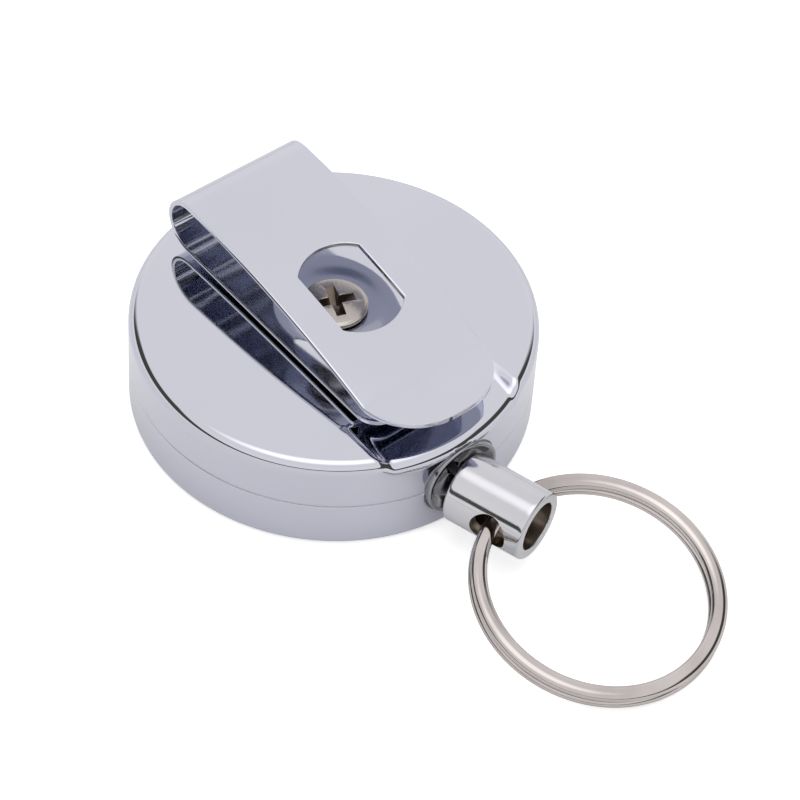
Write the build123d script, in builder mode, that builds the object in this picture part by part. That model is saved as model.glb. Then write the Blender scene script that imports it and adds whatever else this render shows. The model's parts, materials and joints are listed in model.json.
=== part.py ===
from build123d import *
from math import acos, asin, atan2, cos, degrees, floor, hypot, pi, radians, sin, tan
import os

# Retractable badge reel: a round two-shell case with a spring-driven spool, a folded
# belt clip screwed on its back, and a swivelling end tube that carries a split key ring.
# Millimetres. Origin: centre of the flat front face, +Z out of the clip side,
# +X along the cord's exit.

# Case shells
case_diameter = 40.0
case_height = 11.3
shell_wall = 0.7
dome_rise = 0.3
seat_radius = 4.5
back_edge_radius = 1.2
front_edge_radius = 1.0
lip_depth = 1.0
lip_wall = 0.35
lip_clearance = 0.05

# Finger scoop pressed into the back shell under the clip's tip
scoop_length = 7.7
scoop_half_width = 8.8
scoop_depth = 0.9
scoop_side_run = 2.2
scoop_back_run = 0.5
scoop_overcut = 0.8

# Cord and its winding
cord_diameter = 0.9
wound_crown = 2
crown_turns_high = 3
winding_side_gap = 0.1
lead_gap = 0.05
lead_corner_inset = 2.4
lead_bend_radius = 2.5
cord_split_inset = 1.0
cord_end_short = 0.1

# Spool
bearing_clearance = 0.05
spool_play = 0.1
spool_eyelet_gap = 1.9
spool_scoop_gap = 0.7
groove_depth = 4.5
hub_wall = 2.0
flange_thickness = 0.8
flange_edge = 0.24
cover_register_depth = 0.5
cover_register_gap = 0.05
nipple_radius = 0.7
nipple_length = 2.4
nipple_clearance = 0.05
nipple_wall = 0.3
nipple_chamfer = 0.14
nipple_angle = 150.0

# Centre post and what stacks on it
post_radius = 2.4
post_flange_reach = 1.8
post_flange_thickness = 0.7
post_thread_gap = 0.02
post_thread_floor = 2.0
washer_inner_gap = 0.1
washer_rim = 1.5
washer_thickness = 0.3
bush_wall = 1.3

# Mainspring strip, wound in half turns
strip_thickness = 0.2
strip_side_gap = 0.3
strip_post_gap = 0.4
strip_wall_gap = 0.3
strip_pitch = 0.68
strip_tab_depth = 0.5
strip_slot_gap = 0.12

# Exit eyelet
eyelet_edge_cover = 1.5
eyelet_hole_gap = 0.06
eyelet_proud = 0.2
eyelet_depth = 2.8
eyelet_flange_reach = 0.75
eyelet_flange_thickness = 0.95
eyelet_flange_gap = 0.1
eyelet_lip_width = 0.4
eyelet_throat_gap = 0.2
eyelet_throat_depth = 1.5
eyelet_bell_radius = 1.9
eyelet_funnel_share = (0.45, 0.72)
eyelet_bell_share = 0.35

# End tube (nozzle), leaning sideways on the cord's stop
nozzle_lean = 17.0
nozzle_stand_off = 3.0
nozzle_tail = 2.4
nozzle_length = 8.6
nozzle_radius = 3.55
nozzle_bore_radius = 2.5
nozzle_end_wall = 0.8
nozzle_tail_gap_out = 0.8
nozzle_tail_gap_in = 0.52
nozzle_edge_radius = 0.35
nozzle_mouth_chamfer = 0.15
cross_hole_radius = 1.96
cross_hole_from_tail = 5.1

# Crimped stop on the cord's end, inside the end tube
stop_radius = 1.3
stop_mouth_depth = 1.2
stop_mouth_half_angle = 21.0
stop_bore_gap = 0.08

# Split ring: two coils of one flattened wire
ring_mean_radius = 11.6
ring_wire_width = 1.6
ring_coil_thickness = 1.0
ring_seam_gap = 0.06
ring_corner_radius = 0.4
ring_crossover = 30.0
ring_crossover_at = 232.0
ring_crossover_steps = 6
ring_shift = 0.1
ring_turn_back = 6.0
ring_drop = 0.1
ring_floor_gap = 0.01

# Belt clip: one strip folded back on itself
clip_width = 14.4
clip_thickness = 0.5
clip_base_clearance = 0.45
clip_loop_inset = 5.8
clip_loop_radius = 2.9
clip_base_inset = 5.1
clip_tip_inset = 0.7
clip_tip_length = 6.4
clip_bow = 0.95
clip_crease_rise = 2.45
clip_crease_radius = 3.0
clip_crease_turn = 19.0
clip_tip_corner = 6.4
clip_base_corner = 2.5
clip_fold_gap = 0.3
clip_fold_split = 235.0
dimple_radius = 6.4
dimple_slope_run = 3.1
window_centre_x = 2.2
window_radius = 5.15
window_half_width = 3.75

# Clip screw and its spring washer
screw_radius = 1.5
screw_length = 7.5
screw_hole_gap = 0.15
screw_head_radius = 3.25
screw_head_height = 0.7
screw_head_edge = 0.35
screw_tip_chamfer = 0.45
recess_width = 1.0
recess_span = 4.0
recess_depth = 0.5
recess_taper = 14.0
recess_turn = -20.0
lock_washer_radius = 2.6
lock_washer_inner = 1.65
lock_washer_thickness = 0.2
lock_washer_cut = 0.35

os.makedirs("parts", exist_ok=True)

# Places that follow from the sizes above
case_radius = case_diameter / 2
parting_height = case_height / 2
inner_radius = case_radius - shell_wall
case_top = case_height + dome_rise
back_inner_top = case_top - shell_wall
cord_radius = cord_diameter / 2
exit_height = parting_height
scoop_start = case_radius - scoop_length
scoop_ceiling = case_height - scoop_depth - shell_wall
scoop_low = case_height - scoop_depth - back_edge_radius
scoop_high = case_top + scoop_overcut
exit_plane = Plane(origin=(0, 0, exit_height), x_dir=(1, 0, 0), z_dir=(0, -1, 0))
eyelet_radius = exit_height - eyelet_edge_cover
eyelet_hole_radius = eyelet_radius + eyelet_hole_gap
eyelet_mouth_radius = eyelet_radius - eyelet_lip_width
eyelet_flange_radius = eyelet_radius + eyelet_flange_reach
eyelet_throat_radius = cord_radius + eyelet_throat_gap
eyelet_front_x = case_radius + eyelet_proud
eyelet_back_x = eyelet_front_x - eyelet_depth
eyelet_throat_x = eyelet_front_x - eyelet_throat_depth
eyelet_flange_front_x = eyelet_back_x + eyelet_flange_thickness
eyelet_flat_half = scoop_ceiling - exit_height - eyelet_flange_gap
lead_corner_x = case_radius - lead_corner_inset
cord_split_x = case_radius - cord_split_inset

washer_low = shell_wall + post_flange_thickness
spool_low = washer_low + washer_thickness + spool_play
groove_low = spool_low + flange_thickness
winding_room = scoop_ceiling - spool_scoop_gap - flange_thickness - groove_low
wound_wide = floor((winding_room - 2 * winding_side_gap) / cord_diameter + 1e-6)
groove_height = wound_wide * cord_diameter + 2 * winding_side_gap
groove_high = groove_low + groove_height
spool_high = groove_high + flange_thickness
winding_mid = (groove_low + groove_high) / 2
crown_half_height = crown_turns_high * cord_radius
flange_radius = eyelet_back_x - spool_eyelet_gap
hub_radius = flange_radius - groove_depth
cavity_radius = hub_radius - hub_wall
winding_radius = hub_radius + wound_crown * cord_diameter
bearing_radius = post_radius + bearing_clearance
bush_low = spool_high + spool_play

lead_radius = winding_radius + cord_radius + lead_gap
nozzle_pivot_x = eyelet_front_x + nozzle_stand_off
nozzle_pivot = Vector(nozzle_pivot_x, 0, exit_height)
nozzle_direction = Vector(cos(radians(nozzle_lean)), sin(radians(nozzle_lean)), 0)
nozzle_tail_point = nozzle_pivot - nozzle_direction * nozzle_tail
nozzle_plane = Plane(origin=nozzle_tail_point, x_dir=nozzle_direction, z_dir=(0, 0, 1))
cross_hole_point = nozzle_tail_point + nozzle_direction * cross_hole_from_tail


def cup_profile(height, rise, edge_radius, drop):
    """Outline of a domed cup from its axis to its open rim, closed along the axis."""
    top_flat = case_radius - edge_radius
    with BuildSketch(Plane.XZ) as outline:
        with BuildLine():
            seat = Line((0, height + rise - drop), (seat_radius, height + rise - drop))
            crown = TangentArc(seat @ 1, (top_flat, height - drop), tangent=seat % 1)
            edge = RadiusArc(crown @ 1, (case_radius, height - drop - edge_radius), edge_radius)
            wall = Line(edge @ 1, (case_radius, parting_height))
            rim = Line(wall @ 1, (0, parting_height))
            Line(rim @ 1, seat @ 0)
        make_face()
    return outline.sketch


def inner_profile(drop):
    """The same cup one wall thickness further in."""
    edge = back_edge_radius - shell_wall
    top_flat = inner_radius - edge
    inner_height = case_height - shell_wall - drop
    with BuildSketch(Plane.XZ) as outline:
        with BuildLine():
            seat = Line((0, inner_height + dome_rise), (seat_radius, inner_height + dome_rise))
            crown = TangentArc(seat @ 1, (top_flat, inner_height), tangent=seat % 1)
            corner = RadiusArc(crown @ 1, (inner_radius, inner_height - edge), edge)
            wall = Line(corner @ 1, (inner_radius, parting_height))
            rim = Line(wall @ 1, (0, parting_height))
            Line(rim @ 1, seat @ 0)
        make_face()
    return outline.sketch


def scoop_prism(grow):
    """Flared block that marks where the scoop is pressed down, grown by a wall if asked."""
    reach = case_radius + scoop_overcut
    with BuildPart() as prism:
        for level in (scoop_low, scoop_high):
            depth = case_height - level
            half = scoop_half_width + grow - depth * scoop_side_run / scoop_depth
            start = scoop_start - grow + depth * scoop_back_run / scoop_depth
            with BuildSketch(Plane.XY.offset(level)):
                with Locations(((start + reach) / 2, 0)):
                    Rectangle(reach - start, 2 * half)
        loft()
    return prism.part


# ---------------------------------------------------------------- case shells
with BuildPart() as low_cup:
    add(cup_profile(case_height, dome_rise, back_edge_radius, scoop_depth))
    revolve(axis=Axis.Z)

with BuildPart() as scoop_cut:
    add(scoop_prism(0))
    add(low_cup.part, mode=Mode.SUBTRACT)

with BuildPart() as low_cavity:
    add(inner_profile(scoop_depth))
    revolve(axis=Axis.Z)

with BuildPart() as scoop_floor:
    add(scoop_prism(shell_wall))
    add(low_cavity.part, mode=Mode.SUBTRACT)

with BuildPart() as back_cavity:
    add(inner_profile(0))
    revolve(axis=Axis.Z)
    add(scoop_floor.part, mode=Mode.SUBTRACT)

lip_radius = inner_radius + lip_wall
with BuildPart() as back_shell:
    add(cup_profile(case_height, dome_rise, back_edge_radius, 0))
    revolve(axis=Axis.Z)
    with BuildSketch(Plane.XY.offset(parting_height - lip_depth)):
        Circle(lip_radius)
    extrude(amount=lip_depth)
    add(scoop_cut.part, mode=Mode.SUBTRACT)
    add(back_cavity.part, mode=Mode.SUBTRACT)
    with BuildSketch(Plane.XY.offset(parting_height - lip_depth)):
        Circle(inner_radius)
    extrude(amount=lip_depth, mode=Mode.SUBTRACT)
    with BuildSketch(Plane.XY.offset(back_inner_top - shell_wall)):
        Circle(screw_radius + screw_hole_gap)
    extrude(amount=3 * shell_wall, mode=Mode.SUBTRACT)
    with BuildSketch(Plane.YZ.offset(eyelet_flange_front_x - eyelet_hole_gap)):
        with Locations((0, exit_height)):
            Circle(eyelet_hole_radius)
    extrude(amount=case_radius, mode=Mode.SUBTRACT)
back_shell.part.label = "back_shell"
export_step(back_shell.part, "parts/back_shell.step")

with BuildPart() as front_shell:
    with BuildSketch():
        Circle(case_radius)
    extrude(amount=parting_height)
    fillet(front_shell.edges().group_by(Axis.Z)[0], front_edge_radius)
    with BuildSketch(Plane.XY.offset(shell_wall)):
        Circle(inner_radius)
    extrude(amount=parting_height, mode=Mode.SUBTRACT)
    with BuildSketch(Plane.XY.offset(parting_height - lip_depth - lip_clearance)):
        Circle(lip_radius + lip_clearance)
    extrude(amount=lip_depth + lip_clearance, mode=Mode.SUBTRACT)
    with BuildSketch(Plane.YZ.offset(eyelet_flange_front_x - eyelet_hole_gap)):
        with Locations((0, exit_height)):
            Circle(eyelet_hole_radius)
    extrude(amount=case_radius, mode=Mode.SUBTRACT)
front_shell.part.label = "front_shell"
export_step(front_shell.part, "parts/front_shell.step")

# ------------------------------------------------- centre post and its stack
with BuildPart() as center_post:
    with BuildSketch(Plane.XY.offset(shell_wall)):
        Circle(post_radius + post_flange_reach)
    extrude(amount=post_flange_thickness)
    with BuildSketch(Plane.XY.offset(shell_wall)):
        Circle(post_radius)
    extrude(amount=back_inner_top - shell_wall)
    with BuildSketch(Plane.XY.offset(post_thread_floor)):
        Circle(screw_radius + post_thread_gap)
    extrude(amount=back_inner_top, mode=Mode.SUBTRACT)
    slot_width = strip_thickness + 2 * strip_slot_gap
    with BuildSketch(Plane.XY.offset(groove_low)):
        with Locations((post_radius, 0)):
            Rectangle(2 * post_radius, slot_width)
    extrude(amount=groove_height, mode=Mode.SUBTRACT)
center_post.part.label = "center_post"
export_step(center_post.part, "parts/center_post.step")


def ring_disc(low, thickness, inner, outer):
    """Flat washer or short tube round the centre post."""
    with BuildPart() as disc:
        with BuildSketch(Plane.XY.offset(low)):
            Circle(outer)
            Circle(inner, mode=Mode.SUBTRACT)
        extrude(amount=thickness)
    return disc


washer_bore = post_radius + washer_inner_gap
thrust_washer = ring_disc(washer_low, washer_thickness, washer_bore, washer_bore + washer_rim)
thrust_washer.part.label = "thrust_washer"
export_step(thrust_washer.part, "parts/thrust_washer.step")

spacer_bush = ring_disc(
    bush_low, back_inner_top - bush_low, washer_bore, washer_bore + bush_wall
)
spacer_bush.part.label = "spacer_bush"
export_step(spacer_bush.part, "parts/spacer_bush.step")

# ---------------------------------------------------------------------- spool
nipple_hole_radius = nipple_radius + nipple_clearance
nipple_centre_radius = hub_radius - nipple_wall - nipple_hole_radius
nipple_low = winding_mid - nipple_length / 2

with BuildPart() as spool:
    with BuildSketch(Plane.XY.offset(spool_low)):
        Circle(flange_radius)
    extrude(amount=flange_thickness)
    fillet(spool.edges().filter_by(GeomType.CIRCLE), flange_edge)
    with BuildSketch(Plane.XY.offset(spool_low)):
        Circle(hub_radius)
    extrude(amount=spool_high - flange_thickness - spool_low)
    with BuildSketch(Plane.XY.offset(groove_low)):
        Circle(cavity_radius)
    extrude(amount=spool_high, mode=Mode.SUBTRACT)
    with BuildSketch(Plane.XY.offset(spool_low)):
        Circle(bearing_radius)
    extrude(amount=spool_high, mode=Mode.SUBTRACT)
    with BuildSketch(Plane.XY.offset(nipple_low - nipple_clearance)):
        with PolarLocations(nipple_centre_radius, 1, nipple_angle):
            Circle(nipple_hole_radius)
        with PolarLocations(hub_radius, 1, nipple_angle):
            Rectangle(2 * (hub_radius - nipple_centre_radius), cord_diameter)
    extrude(amount=spool_high, mode=Mode.SUBTRACT)
    # slot in the hub that takes the mainspring's outer end
    strip_first_radius = post_radius + strip_post_gap + strip_thickness / 2
    half_pitch = strip_pitch / 2
    strip_room = cavity_radius - strip_wall_gap - strip_first_radius
    strip_half_turns = floor(strip_room / half_pitch)
    strip_end_side = -1 if strip_half_turns % 2 else 1
    with BuildSketch(Plane.XY.offset(groove_low)):
        with Locations((strip_end_side * cavity_radius, 0)):
            Rectangle(2 * (strip_tab_depth + strip_slot_gap), slot_width)
    extrude(amount=spool_high, mode=Mode.SUBTRACT)
spool.part.label = "spool"
export_step(spool.part, "parts/spool.step")

with BuildPart() as spool_cover:
    with BuildSketch(Plane.XY.offset(groove_high)):
        Circle(flange_radius)
    extrude(amount=flange_thickness)
    fillet(spool_cover.edges().filter_by(GeomType.CIRCLE), flange_edge)
    with BuildSketch(Plane.XY.offset(groove_high - cover_register_depth)):
        Circle(cavity_radius - cover_register_gap)
        Circle(cavity_radius - cover_register_gap - flange_thickness, mode=Mode.SUBTRACT)
    extrude(amount=cover_register_depth)
    with BuildSketch(Plane.XY.offset(groove_high - cover_register_depth)):
        Circle(bearing_radius)
    extrude(amount=spool_high, mode=Mode.SUBTRACT)
spool_cover.part.label = "spool_cover"
export_step(spool_cover.part, "parts/spool_cover.step")

with BuildPart() as cord_anchor:
    with BuildSketch(Plane.XY.offset(nipple_low)):
        with PolarLocations(nipple_centre_radius, 1, nipple_angle):
            Circle(nipple_radius)
    extrude(amount=nipple_length)
    chamfer(cord_anchor.edges().filter_by(GeomType.CIRCLE), nipple_chamfer)
cord_anchor.part.label = "cord_anchor"
export_step(cord_anchor.part, "parts/cord_anchor.step")

# Wound cord: a full first layer and a short crowned second layer
winding_low = groove_low + winding_side_gap
winding_high = groove_high - winding_side_gap
with BuildPart() as cord_winding:
    with BuildSketch(Plane.XY.offset(winding_low)):
        Circle(hub_radius + cord_diameter)
        Circle(hub_radius, mode=Mode.SUBTRACT)
    extrude(amount=winding_high - winding_low)
    with BuildSketch(Plane.XY.offset(winding_mid - crown_half_height)):
        Circle(winding_radius)
        Circle(hub_radius, mode=Mode.SUBTRACT)
    extrude(amount=2 * crown_half_height)
cord_winding.part.label = "cord_winding"
export_step(cord_winding.part, "parts/cord_winding.step")

# ----------------------------------------------------------------- mainspring
strip_low = groove_low + strip_side_gap
strip_high = groove_high - cover_register_depth - strip_side_gap


def spiral_point(index, side):
    """Where half turn number index starts, on the strip's inner or outer face."""
    radius = strip_first_radius + index * half_pitch + side * strip_thickness / 2
    return (radius if index % 2 == 0 else -radius, 0)


def spiral_middle(index, side):
    """Top or bottom of half turn number index."""
    centre = (-half_pitch / 2) if index % 2 == 0 else half_pitch / 2
    radius = strip_first_radius + index * half_pitch + half_pitch / 2
    radius += side * strip_thickness / 2
    return (centre, radius if index % 2 == 0 else -radius)


with BuildPart() as mainspring:
    with BuildSketch(Plane.XY.offset(strip_low)):
        with BuildLine():
            for side in (-1, 1):
                for turn in range(strip_half_turns):
                    ThreePointArc(
                        spiral_point(turn, side),
                        spiral_middle(turn, side),
                        spiral_point(turn + 1, side),
                    )
            Line(spiral_point(0, -1), spiral_point(0, 1))
            Line(spiral_point(strip_half_turns, -1), spiral_point(strip_half_turns, 1))
        make_face()
        tab_in = screw_radius + post_thread_gap + strip_slot_gap
        tab_end = strip_first_radius + strip_thickness / 2
        with Locations(((tab_in + tab_end) / 2, 0)):
            Rectangle(tab_end - tab_in, strip_thickness)
        outer_start = abs(spiral_point(strip_half_turns, -1)[0])
        outer_end = cavity_radius + strip_tab_depth
        with Locations((strip_end_side * (outer_start + outer_end) / 2, 0)):
            Rectangle(outer_end - outer_start, strip_thickness)
    extrude(amount=strip_high - strip_low)
mainspring.part.label = "mainspring"
export_step(mainspring.part, "parts/mainspring.step")

# ------------------------------------------------------------ eyelet and cord
funnel_depth = eyelet_front_x - eyelet_throat_x
funnel_rise = eyelet_mouth_radius - eyelet_throat_radius
with BuildPart() as exit_eyelet:
    with BuildSketch(exit_plane):
        with BuildLine():
            back = Line((eyelet_back_x, eyelet_bell_radius), (eyelet_back_x, eyelet_flange_radius))
            step = Polyline(
                back @ 1,
                (eyelet_flange_front_x, eyelet_flange_radius),
                (eyelet_flange_front_x, eyelet_radius),
                (eyelet_front_x - nozzle_edge_radius, eyelet_radius),
            )
            lip = ThreePointArc(
                step @ 1,
                (eyelet_front_x, (eyelet_radius + eyelet_mouth_radius) / 2),
                (eyelet_front_x - nozzle_edge_radius, eyelet_mouth_radius),
            )
            funnel = ThreePointArc(
                lip @ 1,
                (
                    eyelet_throat_x + funnel_depth * eyelet_funnel_share[0],
                    eyelet_throat_radius + funnel_rise * eyelet_funnel_share[1],
                ),
                (eyelet_throat_x, eyelet_throat_radius),
            )
            bell_rise = eyelet_bell_radius - eyelet_throat_radius
            bell_middle = (
                eyelet_back_x + (eyelet_throat_x - eyelet_back_x) * eyelet_bell_share,
                eyelet_throat_radius + bell_rise * eyelet_bell_share,
            )
            ThreePointArc(funnel @ 1, bell_middle, back @ 0)
        make_face()
    revolve(axis=Axis(origin=(0, 0, exit_height), direction=(1, 0, 0)))
    # flats on the inner flange clear the underside of the scoop
    with BuildSketch(Plane.YZ.offset(eyelet_back_x)):
        with Locations((0, exit_height)):
            Circle(2 * eyelet_flange_radius)
            Rectangle(4 * eyelet_flange_radius, 2 * eyelet_flat_half, mode=Mode.SUBTRACT)
    extrude(amount=eyelet_flange_front_x - eyelet_back_x, mode=Mode.SUBTRACT)
exit_eyelet.part.label = "exit_eyelet"
export_step(exit_eyelet.part, "parts/exit_eyelet.step")

lead_turn = acos(lead_radius / lead_corner_x)
lead_start = (lead_radius * cos(lead_turn), lead_radius * sin(lead_turn), exit_height)
with BuildPart() as cord_lead:
    with BuildLine() as lead_path:
        FilletPolyline(
            lead_start,
            (lead_corner_x, 0, exit_height),
            (cord_split_x, 0, exit_height),
            radius=lead_bend_radius,
        )
    with BuildSketch(Plane(origin=lead_path.wire() @ 0, z_dir=lead_path.wire() % 0)):
        Circle(cord_radius)
    sweep(path=lead_path.wire())
cord_lead.part.label = "cord_lead"
export_step(cord_lead.part, "parts/cord_lead.step")
lead_length = lead_path.wire().length

with BuildPart() as cord_end:
    with BuildSketch(Plane.YZ.offset(cord_split_x)):
        with Locations((0, exit_height)):
            Circle(cord_radius)
    extrude(amount=nozzle_pivot_x - cord_end_short - cord_split_x)
cord_end.part.label = "cord_end"
export_step(cord_end.part, "parts/cord_end.step")

# ------------------------------------------------------ end tube and its stop
stop_plane = Plane(origin=nozzle_pivot, x_dir=nozzle_direction, z_dir=(0, 0, 1))
stop_axis = Axis(origin=nozzle_pivot, direction=nozzle_direction)
stop_bore = cord_radius + stop_bore_gap
mouth_radius = stop_bore + stop_mouth_depth * tan(radians(stop_mouth_half_angle))
with BuildPart() as cord_stop:
    with BuildSketch(stop_plane):
        Circle(stop_radius)
        with Locations((0, -stop_radius)):
            Rectangle(4 * stop_radius, 2 * stop_radius, mode=Mode.SUBTRACT)
        with BuildLine():
            Polyline(
                (stop_bore_gap, 0),
                (stop_bore_gap, stop_bore),
                (-stop_mouth_depth, mouth_radius),
                (-2 * stop_radius, mouth_radius),
                (-2 * stop_radius, 0),
                (stop_bore_gap, 0),
            )
        make_face(mode=Mode.SUBTRACT)
    revolve(axis=stop_axis)
cord_stop.part.label = "cord_stop"
export_step(cord_stop.part, "parts/cord_stop.step")


tail_hole_out = cord_radius + nozzle_tail_gap_out
tail_hole_in = cord_radius + nozzle_tail_gap_in
nozzle_axis = Axis(origin=nozzle_tail_point, direction=nozzle_direction)
corner = nozzle_edge_radius
with BuildPart() as nozzle:
    with BuildSketch(nozzle_plane):
        with BuildLine():
            tail = Line((0, tail_hole_out), (0, nozzle_radius - corner))
            tail_edge = RadiusArc(tail @ 1, (corner, nozzle_radius), corner)
            side = Line(tail_edge @ 1, (nozzle_length - corner, nozzle_radius))
            end_edge = RadiusArc(side @ 1, (nozzle_length, nozzle_radius - corner), corner)
            Polyline(
                end_edge @ 1,
                (nozzle_length, nozzle_bore_radius + nozzle_mouth_chamfer),
                (nozzle_length - nozzle_mouth_chamfer, nozzle_bore_radius),
                (nozzle_end_wall, nozzle_bore_radius),
                (nozzle_end_wall, tail_hole_in),
                tail @ 0,
            )
        make_face()
    revolve(axis=nozzle_axis)
    cross_direction = Vector(-nozzle_direction.Y, nozzle_direction.X, 0)
    with BuildSketch(Plane(origin=cross_hole_point, z_dir=cross_direction)):
        Circle(cross_hole_radius)
    extrude(amount=2 * nozzle_radius, both=True, mode=Mode.SUBTRACT)
nozzle.part.label = "nozzle"
export_step(nozzle.part, "parts/nozzle.step")

# ----------------------------------------------------------------- split ring
ring_thickness = 2 * ring_coil_thickness + ring_seam_gap
ring_yaw = radians(nozzle_lean - ring_turn_back)
ring_near = cross_hole_point - nozzle_direction * ring_shift - Vector(0, 0, ring_drop)
# the lean that puts the ring's far edge just above the surface it rests on
reach_out = 2 * ring_mean_radius + ring_wire_width / 2 - ring_corner_radius
reach_down = ring_thickness / 2 - ring_corner_radius
ring_clear_height = ring_near.Z - ring_floor_gap - ring_corner_radius
ring_lean = asin(ring_clear_height / hypot(reach_out, reach_down)) - atan2(reach_down, reach_out)
ring_forward = Vector(
    cos(ring_lean) * cos(ring_yaw), cos(ring_lean) * sin(ring_yaw), -sin(ring_lean)
)
ring_normal = ring_forward.cross(Vector(-sin(ring_yaw), cos(ring_yaw), 0))
ring_centre = ring_near + ring_forward * ring_mean_radius
ring_axis = Axis(origin=ring_centre, direction=ring_normal)
coil_level = (ring_coil_thickness + ring_seam_gap) / 2


def ring_section(angle, level):
    """Rounded wire section at an angle round the ring, at a height off its middle plane."""
    outward = ring_forward.rotate(Axis((0, 0, 0), ring_normal), angle)
    plane = Plane(origin=ring_centre, x_dir=outward, z_dir=outward.cross(ring_normal))
    with BuildSketch(plane) as section:
        with Locations((ring_mean_radius, level)):
            RectangleRounded(ring_wire_width, ring_coil_thickness, ring_corner_radius)
    return section.sketch


with BuildPart() as split_ring:
    first_angle = ring_crossover_at + ring_crossover / 2
    for level in (-coil_level, coil_level):
        add(ring_section(first_angle, level))
        revolve(axis=ring_axis, revolution_arc=360 - ring_crossover)
    for step in range(ring_crossover_steps + 1):
        share = step / ring_crossover_steps
        rise = coil_level * sin((share - 0.5) * pi)
        add(ring_section(first_angle - ring_crossover * (1 - share), rise))
    loft()
split_ring.part.label = "split_ring"
export_step(split_ring.part, "parts/split_ring.step")

# ------------------------------------------------------------------ belt clip
base_low = case_top + clip_base_clearance
base_mid = base_low + clip_thickness / 2
loop_mid = base_mid + clip_loop_radius
clip_loop_x = clip_loop_inset - case_radius
clip_base_front_x = case_radius - clip_base_inset
clip_tip_x = case_radius - clip_tip_inset
clip_crease_x = clip_tip_x - clip_tip_length
clip_crease_z = case_top + clip_crease_rise
clip_arm_mid_x = (clip_loop_x + clip_crease_x) / 2
clip_arm_mid_z = (loop_mid + clip_loop_radius + clip_crease_z) / 2 + clip_bow
half_sheet = clip_thickness / 2
loop_outer = clip_loop_radius + half_sheet
half_gap = degrees(clip_fold_gap / 2 / clip_loop_radius)
clip_plane = Plane.XZ.offset(-clip_width / 2)


def on_loop(angle, radius):
    """Point of the fold, at an angle from the loop's centre towards +X."""
    return (
        clip_loop_x + radius * cos(radians(angle)),
        loop_mid + radius * sin(radians(angle)),
    )


with BuildPart() as clip_arm:
    with BuildSketch(clip_plane):
        with BuildLine() as arm_face:
            loop = ThreePointArc(
                on_loop(clip_fold_split - half_gap, loop_outer),
                on_loop(180, loop_outer),
                on_loop(90, loop_outer),
            )
            arm = ThreePointArc(
                loop @ 1,
                (clip_arm_mid_x, clip_arm_mid_z + half_sheet),
                (clip_crease_x, clip_crease_z + half_sheet),
            )
            crease = JernArc(arm @ 1, arm % 1, clip_crease_radius, clip_crease_turn)
            PolarLine(crease @ 1, 2 * clip_tip_corner, direction=crease % 1)
            offset(amount=clip_thickness, side=Side.RIGHT)
        make_face()
    extrude(amount=clip_width)
    with BuildSketch():
        arm_length = clip_tip_x - clip_loop_x + 2 * loop_outer
        with Locations((clip_tip_x - arm_length / 2, 0)):
            RectangleRounded(arm_length, clip_width, clip_tip_corner)
        with Locations((clip_loop_x - clip_loop_radius, 0)):
            Rectangle(4 * clip_loop_radius, clip_width)
        with BuildSketch(mode=Mode.SUBTRACT):
            with Locations((window_centre_x, 0)):
                Circle(window_radius)
                Rectangle(2 * window_radius, 2 * window_half_width, mode=Mode.INTERSECT)
    extrude(amount=3 * case_height, mode=Mode.INTERSECT)
clip_arm.part.label = "clip_arm"
export_step(clip_arm.part, "parts/clip_arm.step")

with BuildPart() as clip_base:
    with BuildSketch(clip_plane):
        with BuildLine():
            loop = ThreePointArc(
                on_loop(clip_fold_split + half_gap, loop_outer),
                on_loop((clip_fold_split + 270) / 2, loop_outer),
                on_loop(270, loop_outer),
            )
            Line(loop @ 1, (clip_base_front_x, base_low))
            offset(amount=clip_thickness, side=Side.LEFT)
        make_face()
    extrude(amount=clip_width)
    with BuildSketch():
        base_length = clip_base_front_x - clip_loop_x + 2 * loop_outer
        with Locations((clip_base_front_x - base_length / 2, 0)):
            RectangleRounded(base_length, clip_width, clip_base_corner)
        with Locations((clip_loop_x - clip_loop_radius, 0)):
            Rectangle(4 * clip_loop_radius, clip_width)
        Circle(dimple_radius, mode=Mode.SUBTRACT)
    extrude(amount=3 * case_height, mode=Mode.INTERSECT)
    # pressed dimple that seats the clip on the case round the screw
    dimple_flat = dimple_radius - dimple_slope_run
    with BuildSketch(Plane.XZ):
        with BuildLine():
            Polyline(
                (screw_radius + screw_hole_gap, case_top),
                (dimple_flat, case_top),
                (dimple_radius, base_low),
                (dimple_radius, base_low + clip_thickness),
                (dimple_flat, case_top + clip_thickness),
                (screw_radius + screw_hole_gap, case_top + clip_thickness),
                (screw_radius + screw_hole_gap, case_top),
            )
        make_face()
    revolve(axis=Axis.Z)
clip_base.part.label = "clip_base"
export_step(clip_base.part, "parts/clip_base.step")

# ----------------------------------------------------------- screw and washer
washer_seat = case_top + clip_thickness
head_low = washer_seat + lock_washer_thickness
head_high = head_low + screw_head_height

with BuildPart() as lock_washer:
    with BuildSketch(Plane.XY.offset(washer_seat)):
        Circle(lock_washer_radius)
        Circle(lock_washer_inner, mode=Mode.SUBTRACT)
        with Locations((0, -lock_washer_radius)):
            Rectangle(lock_washer_cut, 2 * lock_washer_radius, mode=Mode.SUBTRACT)
    extrude(amount=lock_washer_thickness)
lock_washer.part.label = "lock_washer"
export_step(lock_washer.part, "parts/lock_washer.step")

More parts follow.
